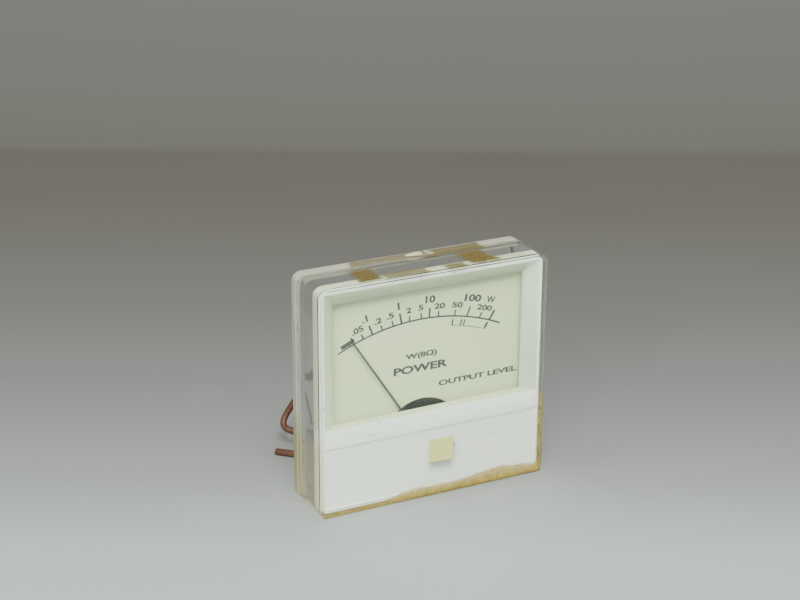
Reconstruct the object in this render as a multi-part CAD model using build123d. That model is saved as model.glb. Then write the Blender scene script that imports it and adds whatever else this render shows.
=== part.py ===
from build123d import *
import math
import os

os.makedirs("parts", exist_ok=True)

# Moving-coil panel power meter in a clear plastic case.
# Frame: +X to the right seen from the front, the front looks to -Y, +Z up. The origin is on the underside of
# the case, halfway across its width and halfway through its depth. Places along Y are given as depths,
# counted backwards from the front face. Millimetres.

# ---- case ----
CASE_W = 65.3              # across the front
CASE_H = 62.0
CASE_D = 16.5              # front face to rear face
CASE_CORNER = 2.5          # outer corner radius, seen from the front
CASE_EDGE = 0.5            # rounding of the front and rear rims
WALL = 1.0                 # side walls
FRONT_WALL = 1.8
REAR_WALL = 1.4
BASE_DEPTH = 4.8           # rear tray, the part of the case behind the joint
TONGUE_DEPTH = 1.6         # tray's tongue inside the cover
TONGUE_WALL = 0.8
TONGUE_GAP = 0.08
TONGUE_CORNER = 0.7        # inner corners of the tongue

# ---- mask and label ----
MASK_GAP = 0.1             # round the mask, inside the cover
MASK_DEPTH = 2.7
MASK_RIM = 0.8             # flat rim in front of the bevel
MASK_BEVEL = 3.6           # how far the bevel leans inwards
MASK_SKIN = 0.9            # thickness of the lower panel
PANEL_TOP = 24.0           # height of the lower panel's ledge
PANEL_LIP = 1.1            # ledge thickness
PANEL_SIDE = 4.4           # solid sides of the lower panel
PANEL_CREASE = 18.6        # height of the fine step across the panel
CREASE_STEP = 0.15
LABEL_W = 6.9
LABEL_H = 6.4
LABEL_T = 0.1
LABEL_X = 1.8
LABEL_Z = 12.9
LABEL_TILT = -2.5

# ---- dial ----
AXIS_X = -0.8              # movement and dial, across the case
AXIS_Z = 14.0              # pivot height
DIAL_DEPTH = 6.5
DIAL_T = 0.5
DIAL_W = 58.0
DIAL_TOP = 59.2
DIAL_BOTTOM = 4.2
ARCH_MARGIN = 1.25         # arched opening round the yoke
DIAL_SCREW_X = 16.5        # either side of the pivot axis
DIAL_SCREW_Z = 19.5

# ---- movement frame ----
FRAME_T = 1.6
FRAME_W = 43.0
FRAME_CORNER = 2.0
FRAME_BOTTOM = 3.4
FRAME_TOP = 25.2
FRAME_POST_X = 17.5        # posts of the rear tray, either side of the axis
FRAME_POST_Z = 7.0
FRAME_POST_R = 2.3
FRAME_POST_EDGE = 0.5      # upper posts below the frame's top edge

# ---- magnet system ----
YOKE_WALL = 3.95
YOKE_SETBACK = 0.7         # behind the dial's face
YOKE_LEN = 5.4
CORE_R = 4.5
CORE_SETBACK = 0.7         # core behind the yoke's front face
CORE_LEN = 4.2
WEB_W = 2.0
WEB_SETBACK = 0.4          # from the core's ends
WEB_SPARE = 0.5            # drawn past the bore, then trimmed to it

# ---- moving coil ----
COIL_GAP = 0.35            # coil to core, and coil end to core end
FORMER_T = 0.15
WINDING_T = 0.5
COIL_WIDTH = 2.5           # along the direction of travel
COIL_CLEAR = 0.8           # winding to the yoke's bore
SWING_REST = -33.2         # needle's angle at zero, from upright
SWING_RANGE = 65.1         # zero to full scale
SWING_SPARE = 1.5          # beyond either end of the scale, to the stops

# ---- pivots, needle and springs ----
STAFF_R = 0.35
TIP_LEN = 0.5              # cone at the pivot's end
TIP_R = 0.05               # blunt end of the cone
CUP_DEPTH = 0.3            # conical cup in each jewel screw
CUP_GAP = 0.04             # pivot tip to jewel cup
HUB_T = 0.5                # the needle's carrier
HUB_TO_DIAL = 0.55
HUB_R = 1.3
HUB_ARM = 5.6
HUB_ARM_W = 0.7
NEEDLE_LEN = 37.3          # pivot to tip
NEEDLE_SOCKET = 0.6        # blade's root beyond the hub's boss
NEEDLE_W = 0.6
NEEDLE_TIP_W = 0.45
NEEDLE_T = 0.3
WEIGHT_R = 0.75
WEIGHT_LEN = 1.3
WEIGHT_LEAD = 0.1          # weights in front of the hub's face
SPRING_W = 0.2             # strip width, along the axis
SPRING_T = 0.12
SPRING_INNER = 0.95
SPRING_OUTER = 3.2
SPRING_TURNS = 3.5
SPRING_STEPS = 16          # points in each turn
SPRING_TO_HUB = 0.2
SPRING_TO_TAB = 0.11
SPRING_TO_COIL = 0.25
SPRING_TO_LEVER = 0.18

# ---- bridges ----
BRIDGE_T = 0.6
BRIDGE_W = 3.4
BRIDGE_END = 0.4           # beyond each post
BRIDGE_CORNER = 0.8
POST_R = 1.3
SCREW_R = 0.8
SCREW_BITE = 2.0           # length in the yoke
FRAME_SCREW_BITE = 4.0     # length in the tray's posts
SCREW_HEAD_R = 1.35
SCREW_HEAD_T = 0.7
LOW_HEAD_T = 0.45          # the rear bridge's low heads
SLOT_W = 0.35
SLOT_DEEP = 0.3
FRAME_SCREW_TURNS = (20, 57, 94, 131)          # how each slot came to rest, degrees
DIAL_SCREW_TURN = 30
FRONT_BRIDGE_TURN = 25
REAR_BRIDGE_TURN = 50
JEWEL_R = 1.0
JEWEL_PROUD = 0.4          # front jewel screw beyond its nut
REAR_JEWEL_PROUD = 0.3     # rear one beyond its bridge
JEWEL_NUT_AF = 3.2
JEWEL_NUT_T = 0.6
WASHER_T = 0.12            # insulating washer under the front abutment
WASHER_COLLAR = 0.25
TAB_T = 0.22               # front abutment and zero lever
TAB_RING = 2.0
TAB_W = 1.0
TAB_FOOT = 0.4             # upright foot that a spring's outer end is soldered to
LEVER_GAP = 0.05           # running gap of the zero lever on its bridge and round the jewel screw
LEVER_ARM_W = 1.9
FORK_SLOT = 2.4

# ---- zero adjuster ----
ADJUST_DROP = 8.5          # below the pivot axis
ADJUST_THROW = 0.7
ADJUST_PIN_R = 0.4
ADJUST_SHAFT_R = 1.4
ADJUST_DISC_R = 2.3
ADJUST_DISC_T = 0.45
ADJUST_HEAD_R = 2.6
ADJUST_HEAD_T = 0.8
ADJUST_SLOT_W = 0.7
RUN_GAP = 0.05             # running clearance of shafts and pins

# ---- needle stops ----
STOP_REACH = 9.0
STOP_R = 0.5
STOP_GAP = 0.08            # needle to pin where the travel ends
STOP_PROUD = 0.4           # in front of the hub's face

# ---- link wires ----
LINK_R = 0.2
LINK_HOLE_R = 0.4
LINK_MARGIN = 0.2          # yoke to the hole in the frame
LINK_ANGLE = 48            # of that hole, from upright
LINK_DROP = 9.0            # rear link's upper bend above the bridge
LINK_FALL = 4.0            # its lower bend above the bridge
LINK_RISE = 1.0            # front link's bend above its hole
LINK_BEHIND = 2.0          # front link's bend behind the frame

# ---- terminals ----
TERM_X = 13.0              # either side of the pivot axis
TERM_Z = 32.0
STUD_R = 1.5
STUD_LEN = 5.5             # outside the rear face
STUD_SPARE = 0.6           # thread beyond the nut
PILOT_R = 1.2              # plain end for a push-on clip
PILOT_CHAMFER = 0.3
STUD_HEAD_R = 2.6
STUD_HEAD_T = 0.9
NUT_AF = 5.5
NUT_T = 2.0
NUT_TURN = 12              # how the nuts came to rest, degrees
TAG_T = 0.5
TAG_R = 3.0
TAG_W = 2.6
TAG_DROP = 5.2             # stud axis to the bent tongue
TAG_TONGUE = 6.0

# ---- leads ----
LEAD_D = 1.8
SOLDER_R = 1.2
SOLDER_GAP = 0.06          # to the lead's end face
LEAD_SETBACK = 0.6         # lead's bared end behind the nut
BEND_SHARE = 0.45          # of the shorter run, taken up by each bend of a lead


# ---- helpers ----
def along(depth):
    """Y of a depth behind the front face."""
    return depth - CASE_D / 2


def plate(outline, front, back):
    """An outline drawn as seen from the front, made solid between two depths."""
    return extrude(Plane.XZ.offset(-along(back)) * outline, back - front)


def disc(x, z, radius, front, back):
    """A round bar along Y."""
    return plate(Pos(x, z) * Circle(radius), front, back)


def block(x0, x1, front, back, z0, z1):
    """A box between two depths."""
    return plate(Pos((x0 + x1) / 2, (z0 + z1) / 2) * Rectangle(x1 - x0, z1 - z0), front, back)


def at_axis(outline):
    """An outline drawn about the pivot, moved to it."""
    return Pos(AXIS_X, AXIS_Z) * outline


def swung(shape, degrees):
    """Turned about the pivot axis, positive towards +X at the top."""
    axis = Axis((AXIS_X, 0, AXIS_Z), (0, 1, 0))
    return shape.rotate(axis, degrees)


def save(name, *solids):
    """One node: its solids, separate or alone, in one file."""
    pieces = [s for shape in solids for s in shape.solids()]
    export_step(pieces[0] if len(pieces) == 1 else Compound(pieces), f"parts/{name}.step")


# ---- places that follow from the sizes above ----
JOINT_DEPTH = CASE_D - BASE_DEPTH              # cover meets tray
TRAY_FLOOR = CASE_D - REAR_WALL                # inner face of the rear wall
MASK_BACK = FRONT_WALL + MASK_DEPTH
INNER_W = CASE_W - 2 * WALL
INNER_H = CASE_H - 2 * WALL
INNER_CORNER = CASE_CORNER - WALL
DIAL_BACK = DIAL_DEPTH + DIAL_T
FRAME_BACK = DIAL_BACK + FRAME_T
COIL_IN_R = CORE_R + COIL_GAP
FORMER_R = COIL_IN_R + FORMER_T
COIL_R = FORMER_R + WINDING_T
YOKE_BORE = COIL_R + COIL_CLEAR
YOKE_R = YOKE_BORE + YOKE_WALL
BRIDGE_REACH = (YOKE_BORE + YOKE_R) / 2        # axis to each bridge post, on the yoke's mid-wall
DIAL_ARCH_R = YOKE_R + ARCH_MARGIN
LINK_REACH = YOKE_R + LINK_MARGIN + LINK_HOLE_R
# From the dial backwards: yoke, core, coil, rear spring, lever, rear bridge.
YOKE_FRONT = DIAL_DEPTH + YOKE_SETBACK
YOKE_BACK = YOKE_FRONT + YOKE_LEN
CORE_FRONT = YOKE_FRONT + CORE_SETBACK
CORE_BACK = CORE_FRONT + CORE_LEN
COIL_FRONT = CORE_FRONT - COIL_GAP - FORMER_T - WINDING_T
COIL_BACK = CORE_BACK + COIL_GAP + FORMER_T + WINDING_T
REAR_SPRING_DEPTH = COIL_BACK + SPRING_TO_COIL
LEVER_FRONT = REAR_SPRING_DEPTH + SPRING_W + SPRING_TO_LEVER
LEVER_BACK = LEVER_FRONT + TAB_T
REAR_CUP = LEVER_FRONT - LEVER_GAP             # front end of the rear jewel screw
REAR_BRIDGE_DEPTH = LEVER_BACK + LEVER_GAP
REAR_BRIDGE_BACK = REAR_BRIDGE_DEPTH + BRIDGE_T
JEWEL_BACK = REAR_BRIDGE_BACK + REAR_JEWEL_PROUD
# From the dial forwards: needle's hub, front spring, abutment and washer, front bridge, nut.
HUB_DEPTH = DIAL_DEPTH - HUB_TO_DIAL - HUB_T
FRONT_SPRING_DEPTH = HUB_DEPTH - SPRING_TO_HUB - SPRING_W
FRONT_CUP = FRONT_SPRING_DEPTH - LEVER_GAP     # rear end of the front jewel screw
ABUTMENT_FRONT = FRONT_SPRING_DEPTH - SPRING_TO_TAB - TAB_T
FRONT_BRIDGE_BACK = ABUTMENT_FRONT - WASHER_T
FRONT_BRIDGE_DEPTH = FRONT_BRIDGE_BACK - BRIDGE_T
JEWEL_FRONT = FRONT_BRIDGE_DEPTH - JEWEL_NUT_T - JEWEL_PROUD
ADJUST_Z = AXIS_Z - ADJUST_DROP
TAG_LOW = TERM_Z - TAG_DROP                    # top of each tag's tongue
TAG_BACK = CASE_D + TAG_T
NUT_BACK = TAG_BACK + NUT_T
LEAD_Z = TAG_LOW + LEAD_D / 2                  # centre of a lead lying on its tag's tongue
LEAD_START = NUT_BACK + LEAD_SETBACK           # depth of its soldered end
CASE_MIDDLE = Pos(0, CASE_H / 2)


# ---- case ----
def frame_post_places():
    upper = FRAME_TOP - FRAME_POST_R - FRAME_POST_EDGE
    return [(AXIS_X + side * FRAME_POST_X, z) for side in (-1, 1) for z in (FRAME_POST_Z, upper)]


def front_cover():
    shell = plate(CASE_MIDDLE * RectangleRounded(CASE_W, CASE_H, CASE_CORNER), 0, JOINT_DEPTH)
    shell = fillet(shell.faces().sort_by(Axis.Y)[0].edges(), CASE_EDGE)
    hollow = plate(CASE_MIDDLE * RectangleRounded(INNER_W, INNER_H, INNER_CORNER), FRONT_WALL, JOINT_DEPTH)
    return shell - hollow


def rear_base():
    tray = plate(CASE_MIDDLE * RectangleRounded(CASE_W, CASE_H, CASE_CORNER), JOINT_DEPTH, CASE_D)
    tray = fillet(tray.faces().sort_by(Axis.Y)[-1].edges(), CASE_EDGE)
    tray -= plate(CASE_MIDDLE * RectangleRounded(INNER_W, INNER_H, INNER_CORNER), JOINT_DEPTH, TRAY_FLOOR)
    tongue_w = INNER_W - 2 * TONGUE_GAP
    tongue_h = INNER_H - 2 * TONGUE_GAP
    tongue_front = JOINT_DEPTH - TONGUE_DEPTH
    tongue_outline = CASE_MIDDLE * RectangleRounded(tongue_w, tongue_h, INNER_CORNER - TONGUE_GAP)
    tongue = plate(tongue_outline, tongue_front, TRAY_FLOOR)
    bore_w = tongue_w - 2 * TONGUE_WALL
    bore_h = tongue_h - 2 * TONGUE_WALL
    tongue -= plate(CASE_MIDDLE * RectangleRounded(bore_w, bore_h, TONGUE_CORNER), tongue_front, TRAY_FLOOR)
    tray += tongue
    for x, z in frame_post_places():
        tray += disc(x, z, FRAME_POST_R, FRAME_BACK, TRAY_FLOOR)
        tray -= disc(x, z, SCREW_R, FRAME_BACK, FRAME_BACK + FRAME_SCREW_BITE)
    for x in terminal_x():
        tray -= disc(x, TERM_Z, STUD_R, TRAY_FLOOR, CASE_D)
    tray -= disc(AXIS_X, ADJUST_Z, ADJUST_SHAFT_R + RUN_GAP, TRAY_FLOOR, CASE_D)
    return tray


def mask_frame():
    mask_w = INNER_W - 2 * MASK_GAP
    mask_h = INNER_H - 2 * MASK_GAP
    mask_outline = CASE_MIDDLE * RectangleRounded(mask_w, mask_h, INNER_CORNER - MASK_GAP)
    body = plate(mask_outline, FRONT_WALL, MASK_BACK)
    front_half = mask_w / 2 - MASK_RIM
    back_half = front_half - MASK_BEVEL
    front_top = CASE_H - WALL - MASK_GAP - MASK_RIM
    back_top = front_top - MASK_BEVEL
    front_outline = Pos(0, (PANEL_TOP + front_top) / 2) * Rectangle(2 * front_half, front_top - PANEL_TOP)
    back_outline = Pos(0, (PANEL_TOP + back_top) / 2) * Rectangle(2 * back_half, back_top - PANEL_TOP)
    window = loft([Plane.XZ.offset(-along(FRONT_WALL)) * front_outline,
                   Plane.XZ.offset(-along(MASK_BACK)) * back_outline])
    body -= window
    pocket_half = mask_w / 2 - PANEL_SIDE
    pocket_bottom = WALL + MASK_GAP + PANEL_LIP
    pocket_top = PANEL_TOP - PANEL_LIP
    skin_back = FRONT_WALL + MASK_SKIN
    body -= block(-pocket_half, pocket_half, skin_back, MASK_BACK, pocket_bottom, pocket_top)
    body -= block(-front_half, front_half, FRONT_WALL, FRONT_WALL + CREASE_STEP, pocket_bottom, PANEL_CREASE)
    return body


def paper_label():
    outline = Pos(LABEL_X, LABEL_Z) * Rot(0, 0, LABEL_TILT) * Rectangle(LABEL_W, LABEL_H)
    return plate(outline, -LABEL_T, 0)


# ---- dial and movement frame ----
def dial_plate():
    sheet = block(-DIAL_W / 2, DIAL_W / 2, DIAL_DEPTH, DIAL_BACK, DIAL_BOTTOM, DIAL_TOP)
    sheet -= disc(AXIS_X, AXIS_Z, DIAL_ARCH_R, DIAL_DEPTH, DIAL_BACK)
    sheet -= block(AXIS_X - DIAL_ARCH_R, AXIS_X + DIAL_ARCH_R, DIAL_DEPTH, DIAL_BACK, DIAL_BOTTOM, AXIS_Z)
    for x in (AXIS_X - DIAL_SCREW_X, AXIS_X + DIAL_SCREW_X):
        sheet -= disc(x, DIAL_SCREW_Z, SCREW_R, DIAL_DEPTH, DIAL_BACK)
    return sheet


def screw(x, z, head_back, length, turn):
    """A slotted cheese-head screw, driven from the front; length is that of its shank."""
    head_front = head_back - SCREW_HEAD_T
    body = disc(x, z, SCREW_HEAD_R, head_front, head_back)
    body += disc(x, z, SCREW_R, head_back, head_back + length)
    slot = Pos(x, z) * Rot(0, 0, turn) * Rectangle(3 * SCREW_HEAD_R, SLOT_W)
    return body - plate(slot, head_front, head_front + SLOT_DEEP)


def rear_screw(x, z, head_front, length, turn):
    """A low-headed slotted screw, driven from the back."""
    head_back = head_front + LOW_HEAD_T
    body = disc(x, z, SCREW_HEAD_R, head_front, head_back)
    body += disc(x, z, SCREW_R, head_front - length, head_front)
    slot = Pos(x, z) * Rot(0, 0, turn) * Rectangle(3 * SCREW_HEAD_R, SLOT_W)
    return body - plate(slot, head_back - SLOT_DEEP, head_back)


def link_hole():
    """Where the front link wire passes through the frame, beside the yoke."""
    angle = math.radians(LINK_ANGLE)
    return AXIS_X + LINK_REACH * math.sin(angle), AXIS_Z + LINK_REACH * math.cos(angle)


def movement_frame():
    middle = (FRAME_BOTTOM + FRAME_TOP) / 2
    outline = Pos(AXIS_X, middle) * RectangleRounded(FRAME_W, FRAME_TOP - FRAME_BOTTOM, FRAME_CORNER)
    body = plate(outline, DIAL_BACK, FRAME_BACK)
    body -= disc(AXIS_X, AXIS_Z, YOKE_R, DIAL_BACK, FRAME_BACK)
    for x, z in frame_post_places():
        body -= disc(x, z, SCREW_R, DIAL_BACK, FRAME_BACK)
        body -= disc(x, z, SCREW_HEAD_R + RUN_GAP, DIAL_BACK, DIAL_BACK + SCREW_HEAD_T)
    for side in (-1, 1):
        body -= disc(AXIS_X + side * DIAL_SCREW_X, DIAL_SCREW_Z, SCREW_R, DIAL_BACK, FRAME_BACK)
    return body - disc(*link_hole(), LINK_HOLE_R, DIAL_BACK, FRAME_BACK)


def frame_screws():
    length = FRAME_T - SCREW_HEAD_T + FRAME_SCREW_BITE
    return [screw(x, z, DIAL_BACK + SCREW_HEAD_T, length, turn)
            for (x, z), turn in zip(frame_post_places(), FRAME_SCREW_TURNS)]


def dial_screws():
    length = DIAL_T + FRAME_T
    return [screw(AXIS_X + side * DIAL_SCREW_X, DIAL_SCREW_Z, DIAL_DEPTH, length, side * DIAL_SCREW_TURN)
            for side in (-1, 1)]


# ---- magnet system ----
def yoke_ring():
    ring = plate(at_axis(Circle(YOKE_R) - Circle(YOKE_BORE)), YOKE_FRONT, YOKE_BACK)
    for side in (-1, 1):
        x = AXIS_X + side * BRIDGE_REACH
        ring -= disc(x, AXIS_Z, SCREW_R, YOKE_FRONT, YOKE_FRONT + SCREW_BITE)
        ring -= disc(x, AXIS_Z, SCREW_R, YOKE_BACK - SCREW_BITE, YOKE_BACK)
    return ring


def core_magnet():
    return disc(AXIS_X, AXIS_Z, CORE_R, CORE_FRONT, CORE_BACK)


def core_webs():
    bar = Rectangle(WEB_W, 2 * (YOKE_BORE + WEB_SPARE))
    gap = Circle(YOKE_BORE) - Circle(CORE_R)
    return plate(at_axis(bar & gap), CORE_FRONT + WEB_SETBACK, CORE_BACK - WEB_SETBACK)


# ---- moving coil ----
def coil_loop(inner, thickness, width):
    """A flat rectangular loop round the core, in the plane of the pivot axis and its own long direction."""
    half = inner + thickness
    front = CORE_FRONT - COIL_GAP - (inner - COIL_IN_R) - thickness
    back = CORE_BACK + COIL_GAP + (inner - COIL_IN_R) + thickness
    z0, z1 = AXIS_Z - width / 2, AXIS_Z + width / 2
    loop = block(AXIS_X - half, AXIS_X + half, front, back, z0, z1)
    loop -= block(AXIS_X - inner, AXIS_X + inner, front + thickness, back - thickness, z0, z1)
    return swung(loop, SWING_REST)


def pivot(base, tip):
    """A staff from the coil to a pointed tip, at depths base and tip."""
    towards = 1 if tip > base else -1
    neck = tip - towards * TIP_LEN
    shaft = disc(AXIS_X, AXIS_Z, STAFF_R, min(base, neck), max(base, neck))
    lean = -90 if towards > 0 else 90
    cone = Pos(AXIS_X, along((neck + tip) / 2), AXIS_Z) * Rot(lean, 0, 0) * Cone(STAFF_R, TIP_R, TIP_LEN)
    return shaft + cone


def jewel_screw(cup, head):
    """A threaded bearing screw along the axis, with a conical cup at one end and a slot at the other."""
    towards = 1 if head > cup else -1
    body = disc(AXIS_X, AXIS_Z, JEWEL_R, min(cup, head), max(cup, head))
    widening = (STAFF_R - TIP_R) / TIP_LEN * CUP_DEPTH
    hollow = Cone(TIP_R + widening + CUP_GAP, TIP_R + CUP_GAP, CUP_DEPTH)
    lean = -90 if towards > 0 else 90
    body -= Pos(AXIS_X, along(cup + towards * CUP_DEPTH / 2), AXIS_Z) * Rot(lean, 0, 0) * hollow
    slot_back = head - towards * SLOT_DEEP
    slot = Pos(AXIS_X, AXIS_Z) * Rectangle(3 * JEWEL_R, SLOT_W)
    return body - plate(slot, min(head, slot_back), max(head, slot_back))


def hairspring(depth):
    """A flat spiral strip whose outer end lies straight below the axis."""
    pitch = (SPRING_OUTER - SPRING_INNER) / SPRING_TURNS
    count = int(SPRING_TURNS * SPRING_STEPS)
    middle, edge_in, edge_out = SPRING_T / 2, [], []
    for n in range(count + 1):
        turn = n / SPRING_STEPS
        angle = -math.pi / 2 - 2 * math.pi * (SPRING_TURNS - turn)
        radius = SPRING_INNER + pitch * turn
        for edge, r in ((edge_in, radius - middle), (edge_out, radius + middle)):
            edge.append((r * math.cos(angle), r * math.sin(angle)))
    inner, outer = Spline(*edge_in), Spline(*edge_out)
    outline = make_face([inner, Line(inner @ 1, outer @ 1), outer, Line(outer @ 0, inner @ 0)])
    return plate(at_axis(outline), depth, depth + SPRING_W)


def pointer_hub():
    cross = Circle(HUB_R)
    for turn in (0, 90, 180, 270):
        reach = HUB_ARM if turn else 2 * HUB_R
        cross += Rot(0, 0, turn) * Pos(0, reach / 2) * Rectangle(HUB_ARM_W, reach)
    cross -= Circle(STAFF_R)
    return swung(plate(at_axis(cross), HUB_DEPTH, HUB_DEPTH + HUB_T), SWING_REST)


def balance_weights():
    """Small turned sleeves on the three short arms."""
    front = HUB_DEPTH - WEIGHT_LEAD
    weights = []
    for turn in (90, 180, 270):
        place = Rot(0, 0, turn) * Pos(0, HUB_ARM - WEIGHT_R)
        sleeve = plate(at_axis(place * Circle(WEIGHT_R)), front, front + WEIGHT_LEN)
        arm_outline = Rot(0, 0, turn) * Pos(0, HUB_ARM / 2) * Rectangle(HUB_ARM_W, HUB_ARM)
        arm = plate(at_axis(arm_outline), HUB_DEPTH, HUB_DEPTH + HUB_T)
        weights.append(swung(sleeve - arm, SWING_REST))
    return weights


def spring_collets():
    """Brass bushes on the pivots, inside each hairspring."""
    ring = at_axis(Circle(SPRING_INNER - SPRING_T / 2) - Circle(STAFF_R))
    return [plate(ring, depth, depth + SPRING_W) for depth in (FRONT_SPRING_DEPTH, REAR_SPRING_DEPTH)]


def pointer():
    """The needle: a thin tapering blade from the hub's long side to the tip."""
    root = HUB_R + NEEDLE_SOCKET
    half, tip = NEEDLE_W / 2, NEEDLE_TIP_W / 2
    outline = Polygon((-half, root), (half, root), (tip, NEEDLE_LEN), (-tip, NEEDLE_LEN), align=None)
    middle = HUB_DEPTH + HUB_T / 2
    blade = plate(at_axis(outline), middle - NEEDLE_T / 2, middle + NEEDLE_T / 2)
    blade -= plate(at_axis(Pos(0, HUB_R) * Rectangle(HUB_ARM_W, 2 * HUB_R)), HUB_DEPTH, HUB_DEPTH + HUB_T)
    return swung(blade, SWING_REST)


# ---- bridges ----
def bridge(depth):
    outline = Rectangle(2 * (BRIDGE_REACH + POST_R + BRIDGE_END), BRIDGE_W)
    for side in (-1, 1):
        outline -= Pos(side * BRIDGE_REACH, 0) * Circle(SCREW_R)
    outline -= Circle(JEWEL_R)
    strip = plate(at_axis(outline), depth, depth + BRIDGE_T)
    upright = strip.edges().filter_by(Axis.Y).group_by(Axis.X)
    return fillet(upright[0] + upright[-1], BRIDGE_CORNER)


def bridge_posts():
    posts = []
    for side in (-1, 1):
        ring = at_axis(Pos(side * BRIDGE_REACH, 0) * (Circle(POST_R) - Circle(SCREW_R)))
        posts.append(plate(ring, FRONT_BRIDGE_BACK, YOKE_FRONT))
        posts.append(plate(ring, YOKE_BACK, REAR_BRIDGE_DEPTH))
    return posts


def bridge_screws():
    screws = []
    for side in (-1, 1):
        x = AXIS_X + side * BRIDGE_REACH
        front_len = YOKE_FRONT - FRONT_BRIDGE_DEPTH + SCREW_BITE
        rear_len = REAR_BRIDGE_BACK - YOKE_BACK + SCREW_BITE
        screws.append(screw(x, AXIS_Z, FRONT_BRIDGE_DEPTH, front_len, side * FRONT_BRIDGE_TURN))
        screws.append(rear_screw(x, AXIS_Z, REAR_BRIDGE_BACK, rear_len, side * REAR_BRIDGE_TURN))
    return screws


def jewel_nut():
    outline = RegularPolygon(JEWEL_NUT_AF / 2, 6, major_radius=False) - Circle(JEWEL_R)
    return plate(at_axis(outline), FRONT_BRIDGE_DEPTH - JEWEL_NUT_T, FRONT_BRIDGE_DEPTH)


def spring_foot(front, back):
    """The upright foot beside a hairspring's outer end, straight below the axis."""
    middle = SPRING_OUTER + SPRING_T / 2 + TAB_FOOT / 2
    return plate(at_axis(Pos(0, -middle) * Rectangle(TAB_W, TAB_FOOT)), front, back)


def abutment_washer():
    """A fibre washer, with a collar, that keeps the front abutment off the bridge and the jewel screw."""
    bore, collar = Circle(JEWEL_R), Circle(JEWEL_R + WASHER_COLLAR)
    washer = plate(at_axis(Circle(TAB_RING) - bore), FRONT_BRIDGE_BACK, ABUTMENT_FRONT)
    return washer + plate(at_axis(collar - bore), ABUTMENT_FRONT, ABUTMENT_FRONT + TAB_T)


def front_abutment():
    """A brass tab under the front bridge; the spring's outer end is soldered to its foot."""
    reach = SPRING_OUTER + SPRING_T / 2 + TAB_FOOT
    outline = Circle(TAB_RING) + Pos(0, -reach / 2) * Rectangle(TAB_W, reach)
    outline -= Circle(JEWEL_R + WASHER_COLLAR)
    back = ABUTMENT_FRONT + TAB_T
    return plate(at_axis(outline), ABUTMENT_FRONT, back) + spring_foot(back, FRONT_SPRING_DEPTH + SPRING_W)


def zero_lever():
    """The rear spring's holder: a ring on the jewel screw, a spring foot and a fork for the eccentric."""
    fork_end = ADJUST_DROP + ADJUST_THROW + FORK_SLOT / 2
    outline = Circle(TAB_RING) + Pos(0, -fork_end / 2) * Rectangle(LEVER_ARM_W, fork_end)
    outline -= Circle(JEWEL_R + LEVER_GAP)
    outline -= Pos(0, -(fork_end - FORK_SLOT / 2)) * Rectangle(2 * (ADJUST_PIN_R + RUN_GAP), FORK_SLOT)
    body = plate(at_axis(outline), LEVER_FRONT, LEVER_BACK)
    return body + spring_foot(REAR_SPRING_DEPTH, LEVER_FRONT)


def zero_adjuster():
    """A slotted plastic eccentric in the rear wall; its pin works in the lever's fork."""
    disc_front = TRAY_FLOOR - RUN_GAP - ADJUST_DISC_T
    head_front = CASE_D + RUN_GAP
    body = disc(AXIS_X, ADJUST_Z, ADJUST_DISC_R, disc_front, TRAY_FLOOR - RUN_GAP)
    body += disc(AXIS_X, ADJUST_Z, ADJUST_SHAFT_R, TRAY_FLOOR - RUN_GAP, head_front)
    body += disc(AXIS_X, ADJUST_Z, ADJUST_HEAD_R, head_front, head_front + ADJUST_HEAD_T)
    slot = Pos(AXIS_X, ADJUST_Z) * Rectangle(ADJUST_SLOT_W, 4 * ADJUST_HEAD_R)
    body -= plate(slot, head_front + ADJUST_HEAD_T / 2, head_front + ADJUST_HEAD_T)
    return body + disc(AXIS_X, ADJUST_Z - ADJUST_THROW, ADJUST_PIN_R, LEVER_FRONT - RUN_GAP, disc_front)


def pointer_stops():
    """Two pins on the yoke that the needle's side meets just past each end of the scale."""
    lean = math.degrees(math.asin((STOP_R + NEEDLE_W / 2 + STOP_GAP) / STOP_REACH))
    pins = []
    for angle in (SWING_REST - SWING_SPARE - lean, SWING_REST + SWING_RANGE + SWING_SPARE + lean):
        x = AXIS_X + STOP_REACH * math.sin(math.radians(angle))
        z = AXIS_Z + STOP_REACH * math.cos(math.radians(angle))
        pins.append(disc(x, z, STOP_R, HUB_DEPTH - STOP_PROUD, YOKE_FRONT))
    return pins


# ---- terminals and leads ----
def terminal_x():
    return (AXIS_X - TERM_X, AXIS_X + TERM_X)


def terminal_studs():
    """Headed studs through the rear wall: a thread for tag and nut, then a plain end."""
    studs = []
    thread_end = NUT_BACK + STUD_SPARE
    for x in terminal_x():
        stud = disc(x, TERM_Z, STUD_HEAD_R, TRAY_FLOOR - STUD_HEAD_T, TRAY_FLOOR)
        stud += disc(x, TERM_Z, STUD_R, TRAY_FLOOR, thread_end)
        stud += disc(x, TERM_Z, PILOT_R, thread_end, CASE_D + STUD_LEN)
        studs.append(chamfer(stud.faces().sort_by(Axis.Y)[-1].edges(), PILOT_CHAMFER))
    return studs


def terminal_nuts():
    outline = RegularPolygon(NUT_AF / 2, 6, major_radius=False) - Circle(STUD_R)
    return [plate(Pos(x, TERM_Z) * Rot(0, 0, NUT_TURN) * outline, TAG_BACK, NUT_BACK) for x in terminal_x()]


def solder_tags():
    """Ring tags under the nuts, each with a tongue bent straight back."""
    tags = []
    for x in terminal_x():
        outline = Circle(TAG_R) + Pos(0, -TAG_DROP / 2) * Rectangle(TAG_W, TAG_DROP)
        outline -= Circle(STUD_R)
        ring = plate(Pos(x, TERM_Z) * outline, CASE_D, TAG_BACK)
        tongue = block(x - TAG_W / 2, x + TAG_W / 2, CASE_D, CASE_D + TAG_TONGUE, TAG_LOW - TAG_T, TAG_LOW)
        tags.append(ring + tongue)
    return tags


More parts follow.
